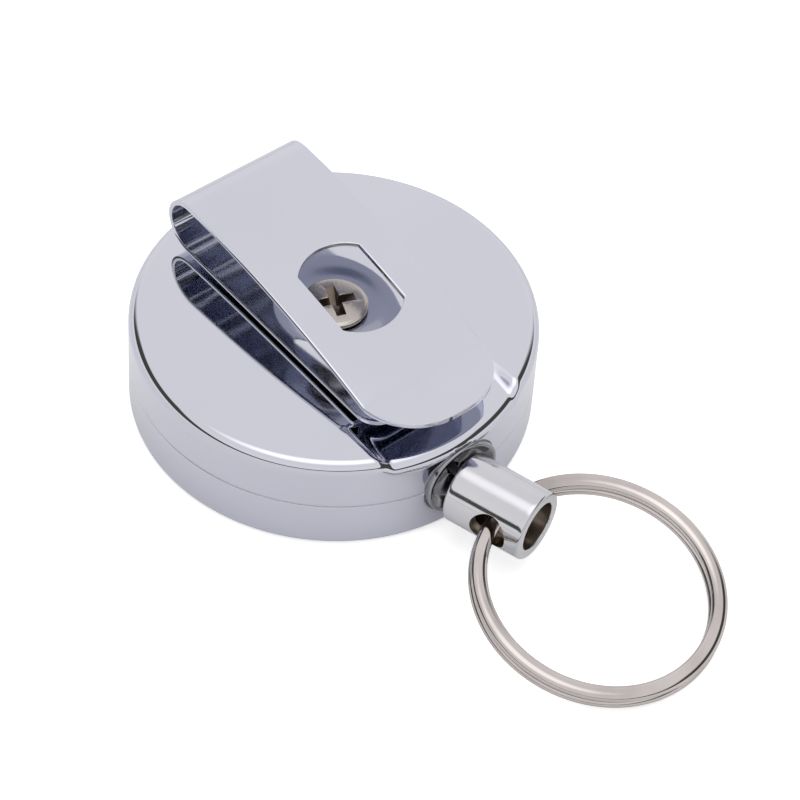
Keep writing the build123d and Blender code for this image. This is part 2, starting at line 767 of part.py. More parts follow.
with BuildPart() as clip_screw:
    with BuildSketch(Plane.XY.offset(head_low - screw_length)):
        Circle(screw_radius)
    extrude(amount=screw_length)
    chamfer(clip_screw.edges().group_by(Axis.Z)[0], screw_tip_chamfer)
    with BuildSketch(Plane.XY.offset(head_low)):
        Circle(screw_head_radius)
    extrude(amount=screw_head_height)
    fillet(clip_screw.edges().group_by(Axis.Z)[-1], screw_head_edge)
    with BuildSketch(Plane.XY.offset(head_high)):
        Rectangle(recess_span, recess_width, rotation=recess_turn)
        Rectangle(recess_width, recess_span, rotation=recess_turn)
    extrude(amount=-recess_depth, taper=recess_taper, mode=Mode.SUBTRACT)
clip_screw.part.label = "clip_screw"
export_step(clip_screw.part, "parts/clip_screw.step")


first_layer = wound_wide * (hub_radius + cord_radius)
second_layer = wound_crown * (hub_radius + cord_diameter + cord_radius)
wound_length = 2 * pi * (first_layer + second_layer)
print(f"cord lead {lead_length:.2f} mm, bend radius {lead_bend_radius} mm")
print(f"wound cord {wound_length:.0f} mm in {wound_wide + wound_crown} turns")
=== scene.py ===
import bpy
import bmesh
import json
from math import acos, asin, atan2, ceil, cos, hypot, pi, radians, sin, sqrt, tan
from mathutils import Matrix, Vector


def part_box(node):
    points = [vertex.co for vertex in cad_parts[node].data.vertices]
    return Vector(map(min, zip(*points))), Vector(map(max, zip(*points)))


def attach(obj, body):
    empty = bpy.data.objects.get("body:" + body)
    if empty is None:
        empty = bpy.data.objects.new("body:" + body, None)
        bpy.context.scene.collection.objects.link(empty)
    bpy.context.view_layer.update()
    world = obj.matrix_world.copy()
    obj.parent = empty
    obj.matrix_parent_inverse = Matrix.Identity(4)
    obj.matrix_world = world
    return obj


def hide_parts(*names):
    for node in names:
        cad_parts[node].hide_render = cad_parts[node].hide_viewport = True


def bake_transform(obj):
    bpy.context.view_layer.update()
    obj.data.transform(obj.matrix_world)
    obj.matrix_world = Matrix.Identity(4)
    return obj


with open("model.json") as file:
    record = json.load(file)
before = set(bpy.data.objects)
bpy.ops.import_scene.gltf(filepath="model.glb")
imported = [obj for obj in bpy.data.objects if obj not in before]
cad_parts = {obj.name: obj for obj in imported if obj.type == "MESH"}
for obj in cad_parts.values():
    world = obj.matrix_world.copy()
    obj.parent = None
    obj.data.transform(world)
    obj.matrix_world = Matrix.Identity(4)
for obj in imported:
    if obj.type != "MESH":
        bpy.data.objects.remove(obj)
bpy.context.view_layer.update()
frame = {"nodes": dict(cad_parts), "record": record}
mm = 0.001
scene = bpy.context.scene
joints = {joint["name"]: joint for joint in frame["record"]["behaviour"]["joints"]}


def boxOf(node):
    low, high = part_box(node)
    return Vector(low) / mm, Vector(high) / mm


def jointPlace(name):
    return Vector(joints[name]["pos_m"]) / mm


def jointAxis(name):
    return Vector(joints[name]["axis"]).normalized()


# the places every piece is built from, in millimetres
frontHigh = boxOf("front_shell")[1]
backHigh = boxOf("back_shell")[1]
eyeletLow, eyeletHigh = boxOf("exit_eyelet")
caseRadius = frontHigh.y
caseTop = backHigh.z
partingHeight = frontHigh.z
exitHeight = jointPlace("nozzle_swivel").z
wall = 0.7  # sheet thickness of both shells


# ---- mesh helpers
def ease(share):
    share = min(max(share, 0.0), 1.0)
    return share * share * (3 - 2 * share)


def spread(start, end, step):
    count = max(1, ceil(abs(end - start) / step - 1e-6))
    return [start + (end - start) * i / count for i in range(count + 1)]


def eased(corners, closed=True, bends=6):
    # a profile of (along, out, easing) corners with each corner turned into an arc
    outline = []
    for i, (along, out, easing) in enumerate(corners):
        here = Vector((along, out))
        if easing == 0 or (not closed and i in (0, len(corners) - 1)):
            outline.append(here)
            continue
        before = (Vector(corners[i - 1][:2]) - here).normalized()
        after = (Vector(corners[(i + 1) % len(corners)][:2]) - here).normalized()
        half = acos(max(-1.0, min(1.0, before.dot(after)))) / 2
        centre = here + (before + after).normalized() * easing / sin(half)
        first = here + before * easing / tan(half) - centre
        last = here + after * easing / tan(half) - centre
        turn = atan2(first.x * last.y - first.y * last.x, first.dot(last))
        for k in range(bends + 1):
            angle = turn * k / bends
            outline.append(centre + Matrix.Rotation(angle, 2) @ first)
    return outline


def divided(outline, step, closed=True):
    # the same profile with its long straight runs cut into short ones
    finer = []
    count = len(outline)
    for i in range(count if closed else count - 1):
        a, b = outline[i], outline[(i + 1) % count]
        pieces = max(1, ceil((b - a).length / step))
        finer += [a.lerp(b, k / pieces) for k in range(pieces)]
    return finer if closed else finer + [outline[-1]]


def skin(rows, closeRows, closeSteps):
    faces = []
    count = len(rows[0])
    for r in range(len(rows) if closeRows else len(rows) - 1):
        a, b = rows[r], rows[(r + 1) % len(rows)]
        for i in range(count if closeSteps else count - 1):
            j = (i + 1) % count
            face = list(dict.fromkeys((a[i], a[j], b[j], b[i])))
            if len(face) > 2:
                faces.append(face)
    return faces


def newPiece(name, points, faces, finish):
    mesh = bpy.data.meshes.new(name)
    mesh.from_pydata([Vector(p) * mm for p in points], [], faces)
    mesh.update()
    piece = bpy.data.objects.new(name, mesh)
    scene.collection.objects.link(piece)
    piece.data.materials.append(finish)
    shell = bmesh.new()
    shell.from_mesh(mesh)
    loose = [v for v in shell.verts if not v.link_faces]
    bmesh.ops.delete(shell, geom=loose, context="VERTS")
    bmesh.ops.recalc_face_normals(shell, faces=shell.faces)
    shell.to_mesh(mesh)
    shell.free()
    mesh.polygons.foreach_set("use_smooth", [True] * len(mesh.polygons))
    return piece


def turned(name, outline, origin, axis, steps, finish, closed=True):
    # spins a profile of (along, out) points round an axis
    axis = Vector(axis).normalized()
    side = axis.cross(Vector((0, 0, 1)))
    side = side.normalized() if side.length > 0.1 else Vector((1, 0, 0))
    other = axis.cross(side)
    points, rows = [], []
    for along, out in outline:
        base = Vector(origin) + axis * along
        if out < 1e-6:
            points.append(base)
            rows.append([len(points) - 1] * steps)
            continue
        row = []
        for i in range(steps):
            angle = 2 * pi * i / steps
            points.append(base + (side * cos(angle) + other * sin(angle)) * out)
            row.append(len(points) - 1)
        rows.append(row)
    return newPiece(name, points, skin(rows, closed, True), finish)


def settle(piece):
    # makes the modifiers' result the piece's own mesh
    bpy.context.view_layer.update()
    shown = piece.evaluated_get(bpy.context.evaluated_depsgraph_get())
    mesh = bpy.data.meshes.new_from_object(shown)
    piece.modifiers.clear()
    piece.data = mesh


def thicken(piece, thickness, offset):
    solid = piece.modifiers.new("thickness", "SOLIDIFY")
    solid.thickness = thickness * mm
    solid.offset = offset


def breakEdges(piece, width, segments=2, limit=40):
    bevel = piece.modifiers.new("edges", "BEVEL")
    bevel.width = width * mm
    bevel.segments = segments
    bevel.limit_method = "ANGLE"
    bevel.angle_limit = radians(limit)
    bevel.use_clamp_overlap = True


def evenNormals(piece):
    weighted = piece.modifiers.new("normals", "WEIGHTED_NORMAL")
    weighted.mode = "FACE_AREA"
    weighted.weight = 70


def cutAway(piece, cutter):
    cut = piece.modifiers.new("cut", "BOOLEAN")
    cut.operation = "DIFFERENCE"
    cut.solver = "EXACT"
    cut.material_mode = "TRANSFER"
    cut.object = cutter
    settle(piece)
    bpy.data.objects.remove(cutter, do_unlink=True)


# ---- node helpers
def addNode(tree, kind, values=None, **settings):
    node = tree.nodes.new(kind)
    for key, value in settings.items():
        setattr(node, key, value)
    for key, value in (values or {}).items():
        node.inputs[key].default_value = value
    return node


def wire(tree, source, output, target, socket):
    tree.links.new(source.outputs[output], target.inputs[socket])


def mathNode(tree, operation, first, second=None, clamp=False):
    # first and second are numbers or (node, output) pairs
    node = addNode(tree, "ShaderNodeMath", operation=operation, use_clamp=clamp)
    for index, value in enumerate((first, second)):
        if isinstance(value, tuple):
            tree.links.new(value[0].outputs[value[1]], node.inputs[index])
        elif value is not None:
            node.inputs[index].default_value = value
    return node


def stretched(tree, scale, turn=(0, 0, 0)):
    coords = addNode(tree, "ShaderNodeTexCoord")
    place = addNode(tree, "ShaderNodeMapping", {"Scale": scale, "Rotation": turn})
    wire(tree, coords, "Object", place, "Vector")
    return place


def newGroup(name, inputs, outputs):
    group = bpy.data.node_groups.new(name, "ShaderNodeTree")
    for label, kind, value in inputs:
        socket = group.interface.new_socket(label, in_out="INPUT", socket_type=kind)
        socket.default_value = value
    for label, kind in outputs:
        group.interface.new_socket(label, in_out="OUTPUT", socket_type=kind)
    start = group.nodes.new("NodeGroupInput")
    end = group.nodes.new("NodeGroupOutput")
    return group, start, end


def mixColour(tree, factor, first, second):
    node = addNode(tree, "ShaderNodeMix", data_type="RGBA")
    for index, value in ((0, factor), (6, first), (7, second)):
        if isinstance(value, tuple) and isinstance(value[0], bpy.types.Node):
            tree.links.new(value[0].outputs[value[1]], node.inputs[index])
        else:
            node.inputs[index].default_value = value
    return node


floatKind, colourKind = "NodeSocketFloat", "NodeSocketColor"


def buildHandlingMarks():
    # hairline scratches, smudges and the faint waviness of pressed or drawn metal
    group, start, end = newGroup(
        "handlingMarks",
        [("Roughness", floatKind, 0.06), ("Scratches", floatKind, 0.5),
         ("Smudges", floatKind, 0.5), ("Waviness", floatKind, 0.5)],
        [("Roughness", floatKind), ("Height", floatKind), ("Smudge", floatKind)],
    )
    lines = []
    for scale, turn in (
        ((260, 9000, 9000), (0.2, 0.1, 0.5)),
        ((8000, 300, 8000), (0.1, 0.3, 0.9)),
    ):
        noise = addNode(group, "ShaderNodeTexNoise", {"Scale": 1.0, "Detail": 2.0})
        wire(group, stretched(group, scale, turn), "Vector", noise, "Vector")
        thin = addNode(
            group, "ShaderNodeMapRange",
            {"From Min": 0.66, "From Max": 0.72, "To Min": 0.0, "To Max": 1.0},
        )
        wire(group, noise, "Fac", thin, "Value")
        lines.append(thin)
    both = mathNode(group, "MAXIMUM", (lines[0], 0), (lines[1], 0))
    scratch = mathNode(group, "MULTIPLY", (both, 0), (start, "Scratches"))
    film = addNode(group, "ShaderNodeTexNoise", {"Scale": 140.0, "Detail": 5.0, "Roughness": 0.62})
    wire(group, stretched(group, (1, 1, 1)), "Vector", film, "Vector")
    patch = addNode(
        group, "ShaderNodeMapRange",
        {"From Min": 0.5, "From Max": 0.72, "To Min": 0.0, "To Max": 1.0},
    )
    wire(group, film, "Fac", patch, "Value")
    smudge = mathNode(group, "MULTIPLY", (patch, 0), (start, "Smudges"))
    fromScratch = mathNode(group, "MULTIPLY", (scratch, 0), 0.16)
    fromSmudge = mathNode(group, "MULTIPLY", (smudge, 0), 0.07)
    extra = mathNode(group, "ADD", (fromScratch, 0), (fromSmudge, 0))
    rough = mathNode(group, "ADD", (extra, 0), (start, "Roughness"), clamp=True)
    wave = addNode(group, "ShaderNodeTexNoise", {"Scale": 190.0, "Detail": 1.0})
    wire(group, stretched(group, (1, 1, 1)), "Vector", wave, "Vector")
    waves = mathNode(group, "MULTIPLY", (wave, "Fac"), (start, "Waviness"))
    dents = mathNode(group, "MULTIPLY", (scratch, 0), -0.05)
    height = mathNode(group, "ADD", (waves, 0), (dents, 0))
    wire(group, rough, 0, end, "Roughness")
    wire(group, height, 0, end, "Height")
    wire(group, smudge, 0, end, "Smudge")
    return group


def buildPlateTone():
    # slow change of the plate's colour, with a film where it has been handled
    group, start, end = newGroup(
        "plateTone",
        [("Plate", colourKind, (0.6, 0.6, 0.6, 1)), ("Deep", colourKind, (0.5, 0.5, 0.5, 1)),
         ("Size", floatKind, 90.0), ("Smudge", floatKind, 0.0)],
        [("Color", colourKind)],
    )
    noise = addNode(group, "ShaderNodeTexNoise", {"Detail": 3.0})
    wire(group, stretched(group, (1, 1, 1)), "Vector", noise, "Vector")
    wire(group, start, "Size", noise, "Scale")
    share = addNode(
        group, "ShaderNodeMapRange",
        {"From Min": 0.3, "From Max": 0.75, "To Min": 0.0, "To Max": 0.6},
    )
    wire(group, noise, "Fac", share, "Value")
    filmed = mathNode(group, "MULTIPLY", (start, "Smudge"), 0.25)
    total = mathNode(group, "ADD", (share, 0), (filmed, 0), clamp=True)
    mixed = mixColour(group, (total, 0), (start, "Plate"), (start, "Deep"))
    wire(group, mixed, 2, end, "Color")
    return group


def buildSpeckle():
    # fine grain of moulded plastic or of a rolled strip
    group, start, end = newGroup(
        "speckle",
        [("Light", colourKind, (0.8, 0.8, 0.8, 1)), ("Dark", colourKind, (0.7, 0.7, 0.7, 1)),
         ("Size", floatKind, 900.0), ("Roughness", floatKind, 0.4)],
        [("Color", colourKind), ("Roughness", floatKind), ("Height", floatKind)],
    )
    noise = addNode(group, "ShaderNodeTexNoise", {"Detail": 4.0, "Roughness": 0.6})
    wire(group, stretched(group, (1, 1, 1)), "Vector", noise, "Vector")
    wire(group, start, "Size", noise, "Scale")
    mixed = mixColour(group, (noise, "Fac"), (start, "Light"), (start, "Dark"))
    uneven = mathNode(group, "MULTIPLY", (noise, "Fac"), 0.18)
    rough = mathNode(group, "ADD", (uneven, 0), (start, "Roughness"), clamp=True)
    wire(group, mixed, 2, end, "Color")
    wire(group, rough, 0, end, "Roughness")
    wire(group, noise, "Fac", end, "Height")
    return group


def newFinish(name):
    finish = bpy.data.materials.new(name)
    finish.use_nodes = True
    tree = finish.node_tree
    tree.nodes.clear()
    shader = addNode(tree, "ShaderNodeBsdfPrincipled")
    out = addNode(tree, "ShaderNodeOutputMaterial")
    wire(tree, shader, "BSDF", out, "Surface")
    return finish, tree, shader


def platedMetal(name, look):
    finish, tree, shader = newFinish(name)
    marks = addNode(tree, "ShaderNodeGroup", node_tree=handlingMarks)
    tone = addNode(tree, "ShaderNodeGroup", node_tree=plateTone)
    for label in ("Roughness", "Scratches", "Smudges", "Waviness"):
        marks.inputs[label].default_value = look[label.lower()]
    tone.inputs["Plate"].default_value = (*look["plate"], 1)
    tone.inputs["Deep"].default_value = (*look["deep"], 1)
    tone.inputs["Size"].default_value = look["toneSize"]
    bump = addNode(
        tree, "ShaderNodeBump", {"Strength": 1.0, "Distance": look["relief"] * mm}
    )
    shader.inputs["Metallic"].default_value = 1.0
    wire(tree, marks, "Smudge", tone, "Smudge")
    wire(tree, tone, "Color", shader, "Base Color")
    wire(tree, marks, "Roughness", shader, "Roughness")
    wire(tree, marks, "Height", bump, "Height")
    wire(tree, bump, "Normal", shader, "Normal")
    return finish


def grained(name, look):
    finish, tree, shader = newFinish(name)
    grain = addNode(tree, "ShaderNodeGroup", node_tree=speckle)
    grain.inputs["Light"].default_value = (*look["light"], 1)
    grain.inputs["Dark"].default_value = (*look["dark"], 1)
    grain.inputs["Size"].default_value = look["size"]
    grain.inputs["Roughness"].default_value = look["roughness"]
    bump = addNode(
        tree, "ShaderNodeBump", {"Strength": 1.0, "Distance": look["relief"] * mm}
    )
    shader.inputs["Metallic"].default_value = look["metallic"]
    wire(tree, grain, "Color", shader, "Base Color")
    wire(tree, grain, "Roughness", shader, "Roughness")
    wire(tree, grain, "Height", bump, "Height")
    wire(tree, bump, "Normal", shader, "Normal")
    return finish


def braidedNylon(name, look):
    finish, tree, shader = newFinish(name)
    strands = []
    for turn in (0.8, -0.8):
        wave = addNode(
            tree, "ShaderNodeTexWave", {"Scale": look["strandsPerMetre"], "Distortion": 0.6}
        )
        wire(tree, stretched(tree, (1, 1, 1), (turn, 0, turn)), "Vector", wave, "Vector")
        strands.append(wave)
    cross = mathNode(tree, "MAXIMUM", (strands[0], "Fac"), (strands[1], "Fac"))
    # the colour between the strands is darker than the yarn: painted shade in the braid's gaps
    colour = mixColour(tree, (cross, 0), (*look["gap"], 1), (*look["yarn"], 1))
    rough = mathNode(tree, "MULTIPLY", (cross, 0), -0.2)
    total = mathNode(tree, "ADD", (rough, 0), look["roughness"])
    bump = addNode(
        tree, "ShaderNodeBump", {"Strength": 0.8, "Distance": look["relief"] * mm}
    )
    shader.inputs["Sheen Weight"].default_value = 0.3
    wire(tree, colour, 2, shader, "Base Color")
    wire(tree, total, 0, shader, "Roughness")
    wire(tree, cross, 0, bump, "Height")
    wire(tree, bump, "Normal", shader, "Normal")
    return finish


handlingMarks = buildHandlingMarks()
plateTone = buildPlateTone()
speckle = buildSpeckle()

caseLook = dict(
    plate=(0.588, 0.602, 0.672), deep=(0.560, 0.576, 0.65), toneSize=60.0,
    roughness=0.035, scratches=0.25, smudges=0.5, waviness=0.5, relief=0.003,
)
clipLook = dict(
    plate=(0.588, 0.602, 0.668), deep=(0.552, 0.570, 0.645), toneSize=80.0,
    roughness=0.085, scratches=0.3, smudges=0.6, waviness=0.6, relief=0.003,
)
tubeLook = dict(
    plate=(0.60, 0.60, 0.63), deep=(0.52, 0.53, 0.57), toneSize=160.0,
    roughness=0.09, scratches=0.5, smudges=0.8, waviness=1.0, relief=0.010,
)
# a darker brownish plate for the tube's bore and cross hole: painted shade inside the tube
boreShadeLook = dict(
    plate=(0.34, 0.29, 0.25), deep=(0.22, 0.18, 0.15), toneSize=300.0,
    roughness=0.30, scratches=0.8, smudges=0.6, waviness=0.6, relief=0.006,
)
# a dark brownish plate for the screw's cross recess: painted shade in the recess
recessShadeLook = dict(
    plate=(0.22, 0.185, 0.155), deep=(0.13, 0.105, 0.085), toneSize=500.0,
    roughness=0.38, scratches=0.5, smudges=0.8, waviness=0.6, relief=0.006,
)
ringLook = dict(
    plate=(0.59, 0.555, 0.54), deep=(0.30, 0.27, 0.26), toneSize=130.0,
    roughness=0.07, scratches=0.8, smudges=0.6, waviness=0.8, relief=0.006,
)
screwLook = dict(
    plate=(0.47, 0.435, 0.41), deep=(0.38, 0.35, 0.33), toneSize=260.0,
    roughness=0.24, scratches=0.7, smudges=0.8, waviness=0.8, relief=0.006,
)
eyeletLook = dict(
    plate=(0.36, 0.36, 0.375), deep=(0.26, 0.26, 0.27), toneSize=240.0,
    roughness=0.12, scratches=0.6, smudges=0.8, waviness=0.5, relief=0.005,
)
postLook = dict(
    plate=(0.50, 0.50, 0.50), deep=(0.40, 0.40, 0.41), toneSize=260.0,
    roughness=0.28, scratches=0.9, smudges=0.5, waviness=0.4, relief=0.004,
)
springLook = dict(
    light=(0.20, 0.22, 0.29), dark=(0.10, 0.12, 0.19), size=420.0,
    roughness=0.24, relief=0.002, metallic=1.0,
)
spoolLook = dict(
    light=(0.80, 0.79, 0.74), dark=(0.70, 0.69, 0.63), size=1500.0,
    roughness=0.38, relief=0.006, metallic=0.0,
)
brassLook = dict(
    plate=(0.68, 0.50, 0.24), deep=(0.52, 0.36, 0.15), toneSize=500.0,
    roughness=0.22, scratches=0.8, smudges=0.6, waviness=0.6, relief=0.006,
)
# the gap colour is painted shade between the strands
cordLook = dict(
    yarn=(0.045, 0.045, 0.05), gap=(0.008, 0.008, 0.010), strandsPerMetre=1500.0,
    roughness=0.72, relief=0.04,
)

finishes = {
    "chrome_case": platedMetal("caseChrome", caseLook),
    "chrome_clip": platedMetal("clipChrome", clipLook),
    "chrome_tube": platedMetal("tubeChrome", tubeLook),
    "nickel_ring": platedMetal("ringNickel", ringLook),
    "nickel_screw": platedMetal("screwNickel", screwLook),
    "eyelet_steel": platedMetal("eyeletSteel", eyeletLook),
    "post_steel": platedMetal("postSteel", postLook),
    "stop_brass": platedMetal("stopBrass", brassLook),
    "spring_steel": grained("bluedStrip", springLook),
    "spool_plastic": grained("spoolAcetal", spoolLook),
    "cord_nylon": braidedNylon("cordNylon", cordLook),
}
# the tube's bore plate is painted shade in the hollow
boreShadeFinish = platedMetal("tubeBoreShade", boreShadeLook)
# the screw's recess plate is painted shade in the hollow
recessShadeFinish = platedMetal("screwRecessShade", recessShadeLook)
print("finishes are ready")

# ---- finishes on the pieces that stay as they are
slotOf = {part["node"]: part["material_slot"] for part in frame["record"]["subparts"]}
for node, shape in frame["nodes"].items():
    shape.data.materials.clear()
    shape.data.materials.append(finishes[slotOf[node]])


# ---- case shells
caseSizes = dict(
    seatRadius=4.5, crownRadius=18.8, backEdge=1.2, frontEdge=1.0, screwHole=1.65,
    grooveDepth=0.05, grooveHeight=0.07, seamGap=0.008, eyeletGap=0.06, domeRise=0.3,
    topStep=0.5, scoopStep=0.16, sideStep=0.22,
)
domeRise = caseSizes["domeRise"]
scoop = dict(
    start=12.3, backRun=0.5, halfWidth=8.8, sideRun=1.7, depth=0.9, fall=0.72, fade=2.1,
)
eyeletSizes = dict(
    radius=4.15, flange=4.9, flat=3.95, mouth=3.75, throat=0.65, bell=1.9, flangeFront=18.35,
    throatAt=18.7, funnelRun=0.72, funnelReach=2.35, bellRun=0.85, bellReach=0.45,
)


def crownHeight(radius):
    run = caseSizes["crownRadius"] - caseSizes["seatRadius"]
    bend = (run * run + domeRise * domeRise) / (2 * domeRise)
    return caseTop - max(radius - caseSizes["seatRadius"], 0) ** 2 / (2 * bend)


def pressed(x, y):
    # share of the scoop's depth at a place on the case's top
    sideways = ease((scoop["halfWidth"] - abs(y)) / scoop["sideRun"])
    inward = ease((x - scoop["start"]) / scoop["backRun"])
    outward = min((x - scoop["start"]) / (caseRadius - scoop["start"]), 1)
    return min(sideways, inward) * (1 - scoop["fall"] * (1 - outward))


def roundAngles(fine, coarse, sector):
    # angles round the case, closer together inside a sector about the exit
    inner = spread(-sector, sector, fine)
    outer = spread(sector, 360 - sector, coarse)
    return [radians(a) for a in inner + outer[1:-1]]


def shellPiece(name, outline, angles, finish, press):
    # one sheet spun round Z, pressed and pierced for the eyelet, then thickened inwards
    hole = eyeletSizes["radius"] + caseSizes["eyeletGap"]
    points, rows = [], []
    for radius, height in outline:
        row = []
        for angle in angles:
            x, y, z = radius * cos(angle), radius * sin(angle), height
            if press:
                wallTop = caseTop - domeRise - caseSizes["backEdge"]
                fade = ease((height - wallTop + scoop["fade"]) / scoop["fade"])
                z -= scoop["depth"] * pressed(x, y) * fade
            row.append(len(points))
            points.append([x, y, z])
        rows.append(row)

    def fromEdge(place):
        if place[0] < caseRadius / 2:
            return caseRadius
        return hypot(place[1], place[2] - exitHeight) - hole

    kept, cut = [], []
    for face in skin(rows, False, True):
        middle = [sum(points[i][k] for i in face) / len(face) for k in range(3)]
        (kept if fromEdge(middle) > 0 else cut).append(face)
    rim = {i for face in cut for i in face} & {i for face in kept for i in face}
    rim |= {i for face in kept for i in face if fromEdge(points[i]) < 0}
    for i in rim:
        x, y, z = points[i]
        out = hole / hypot(y, z - exitHeight)
        y, z = y * out, exitHeight + (z - exitHeight) * out
        points[i] = [sqrt(x * x + points[i][1] ** 2 - y * y), y, z]
    piece = newPiece(name, points, kept, finish)
    middle = Vector((0, 0, partingHeight * mm))
    outside = sum(1 if f.normal.dot(f.center - middle) > 0 else -1 for f in piece.data.polygons)
    if outside < 0:
        piece.data.flip_normals()
    thicken(piece, wall, -1)
    settle(piece)
    return piece


quarter = [radians(90 * i / 12) for i in range(13)]
grooveSteps = [(0.0, 1.0), (0.25, 0.5), (0.6, 0.12), (1.0, 0.0)]

backOutline = [(r, caseTop) for r in spread(caseSizes["screwHole"], caseSizes["seatRadius"], 0.7)]
backOutline += [(r, crownHeight(r)) for r in spread(caseSizes["seatRadius"], 12, caseSizes["topStep"])[1:]]
backOutline += [(r, crownHeight(r)) for r in spread(12, caseSizes["crownRadius"], caseSizes["scoopStep"])[1:]]
edgeRadius = caseSizes["backEdge"]
edgeCentre = (caseRadius - edgeRadius, caseTop - domeRise - edgeRadius)
backOutline += [
    (edgeCentre[0] + edgeRadius * sin(a), edgeCentre[1] + edgeRadius * cos(a))
    for a in quarter[1:]
]
grooveTop = partingHeight + caseSizes["grooveHeight"]
backOutline += [(caseRadius, z) for z in spread(edgeCentre[1], grooveTop, caseSizes["sideStep"])[1:]]
for inward, up in reversed(grooveSteps[:-1]):
    backOutline.append(
        (caseRadius - caseSizes["grooveDepth"] * (1 - inward) ** 2,
         partingHeight + caseSizes["seamGap"] + (grooveTop - partingHeight) * (1 - up))
    )
backOutline = [p for i, p in enumerate(backOutline) if i == 0 or p != backOutline[i - 1]]

caseBack = shellPiece(
    "caseBack", backOutline, roundAngles(0.4, 1.5, 34), finishes["chrome_case"], True
)
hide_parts("back_shell")
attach(caseBack, "root")

frontEdge = caseSizes["frontEdge"]
frontOutline = [(r, 0.0) for r in [0.0] + spread(0.5, caseRadius - frontEdge, 1.2)[1:]]
frontOutline += [
    (caseRadius - frontEdge + frontEdge * sin(a), frontEdge - frontEdge * cos(a))
    for a in quarter[1:]
]
grooveLow = partingHeight - caseSizes["grooveHeight"]
frontOutline += [(caseRadius, z) for z in spread(frontEdge, grooveLow, caseSizes["sideStep"])[1:]]
frontOutline += [
    (caseRadius - caseSizes["grooveDepth"] * share ** 2,
     grooveLow + (caseSizes["grooveHeight"] - caseSizes["seamGap"]) * share)
    for share in (0.4, 0.75, 1.0)
]
caseFront = shellPiece(
    "caseFront", frontOutline, roundAngles(0.6, 1.5, 16), finishes["chrome_case"], False
)
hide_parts("front_shell")
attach(caseFront, "root")
print("case shells are pressed")


# ---- exit eyelet
def buildEyelet():
    sizes = eyeletSizes
    back, front = eyeletLow.x, eyeletHigh.x
    flangeFront, throatAt = sizes["flangeFront"], sizes["throatAt"]
    corners = [
        (back, sizes["bell"], 0.15), (back, sizes["flange"], 0.15),
        (flangeFront, sizes["flange"], 0.15), (flangeFront, sizes["radius"], 0.0),
        (front, sizes["radius"], 0.19), (front, sizes["mouth"], 0.19),
        (throatAt + sizes["funnelRun"], sizes["throat"] + sizes["funnelReach"], 0.9),
        (throatAt, sizes["throat"], 0.12),
        (throatAt - sizes["bellRun"], sizes["throat"] + sizes["bellReach"], 0.5),
    ]
    piece = turned(
        "exitEyelet", divided(eased(corners), 0.3), (0, 0, exitHeight), (1, 0, 0), 160,
        finishes["eyelet_steel"],
    )
    for v in piece.data.vertices:
        if v.co.x < (flangeFront + 0.1) * mm:
            off = v.co.z / mm - exitHeight
            v.co.z = (exitHeight + max(-sizes["flat"], min(sizes["flat"], off))) * mm
    evenNormals(piece)
    settle(piece)
    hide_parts("exit_eyelet")
    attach(piece, "root")


buildEyelet()


# ---- belt clip
clipSizes = dict(
    thickness=0.5, loopRadius=2.9, armMiddle=(-1.0, 17.05), creaseAt=(12.9, 14.05),
    creaseRadius=3.0, creaseTurn=19.0, tipCorner=6.4, baseCorner=2.5, cell=0.2,
    windowAt=2.2, windowRadius=5.15, windowHalf=3.75, screwHole=1.65,
    dimpleInner=3.2, dimpleOuter=6.4, dimpleDepth=0.45, edge=0.1, baseGap=0.45,
    hingeBelow=0.22, hingeAbove=0.4,
)


def circleThrough(a, b, c):
    ax, ay, bx, by, cx, cy = *a, *b, *c
    d = 2 * (ax * (by - cy) + bx * (cy - ay) + cx * (ay - by))
    x = (ax * ax + ay * ay) * (by - cy) + (bx * bx + by * by) * (cy - ay)
    x += (cx * cx + cy * cy) * (ay - by)
    y = (ax * ax + ay * ay) * (cx - bx) + (bx * bx + by * by) * (ax - cx)
    y += (cx * cx + cy * cy) * (bx - ax)
    centre = Vector((x / d, y / d))
    return centre, (Vector(a) - centre).length


def clipPath():
    # the strip's middle line from its front end, round the fold, to its tip
    sizes = clipSizes
    baseHigh = boxOf("clip_base")[1]
    armLow, armHigh = boxOf("clip_arm")
    middle = caseTop + sizes["baseGap"] + sizes["thickness"] / 2
    loopX = armLow.x + sizes["loopRadius"] + sizes["thickness"] / 2
    loopZ = middle + sizes["loopRadius"]
    cell = sizes["cell"]
    path = [(Vector((x, middle)), "base") for x in spread(baseHigh.x, loopX, cell)[:-1]]
    for a in spread(270, 90, degreesFor(cell, sizes["loopRadius"]))[:-1]:
        turn = Vector((cos(radians(a)), sin(radians(a)))) * sizes["loopRadius"]
        path.append((Vector((loopX, loopZ)) + turn, "fold"))
    start = (loopX, loopZ + sizes["loopRadius"])
    centre, radius = circleThrough(start, sizes["armMiddle"], sizes["creaseAt"])
    first = atan2(start[1] - centre.y, start[0] - centre.x)
    last = atan2(sizes["creaseAt"][1] - centre.y, sizes["creaseAt"][0] - centre.x)
    for a in spread(first, last, cell / radius)[:-1]:
        path.append((centre + Vector((cos(a), sin(a))) * radius, "arm"))
    heading = last - pi / 2
    up = Vector((-sin(heading), cos(heading)))
    bendCentre = Vector(sizes["creaseAt"]) + up * sizes["creaseRadius"]
    for a in spread(0, radians(sizes["creaseTurn"]), cell / sizes["creaseRadius"])[:-1]:
        down = Vector((sin(heading + a), -cos(heading + a))) * sizes["creaseRadius"]
        path.append((bendCentre + down, "arm"))
    heading += radians(sizes["creaseTurn"])
    corner = bendCentre + Vector((sin(heading), -cos(heading))) * sizes["creaseRadius"]
    reach = (armHigh.x - corner.x) / cos(heading)
    for s in spread(0, reach, cell):
        path.append((corner + Vector((cos(heading), sin(heading))) * s, "arm"))
    return path, baseHigh.x, armHigh.x, armHigh.y


def degreesFor(length, radius):
    return length / radius * 180 / pi


def endRounding(x, y, reach, half, corner):
    # how far a point is past a strip's rounded end
    past, aside = x - (reach - corner), abs(y) - (half - corner)
    if past > 0 and aside > 0:
        return hypot(past, aside) - corner
    return max(past, aside) - corner


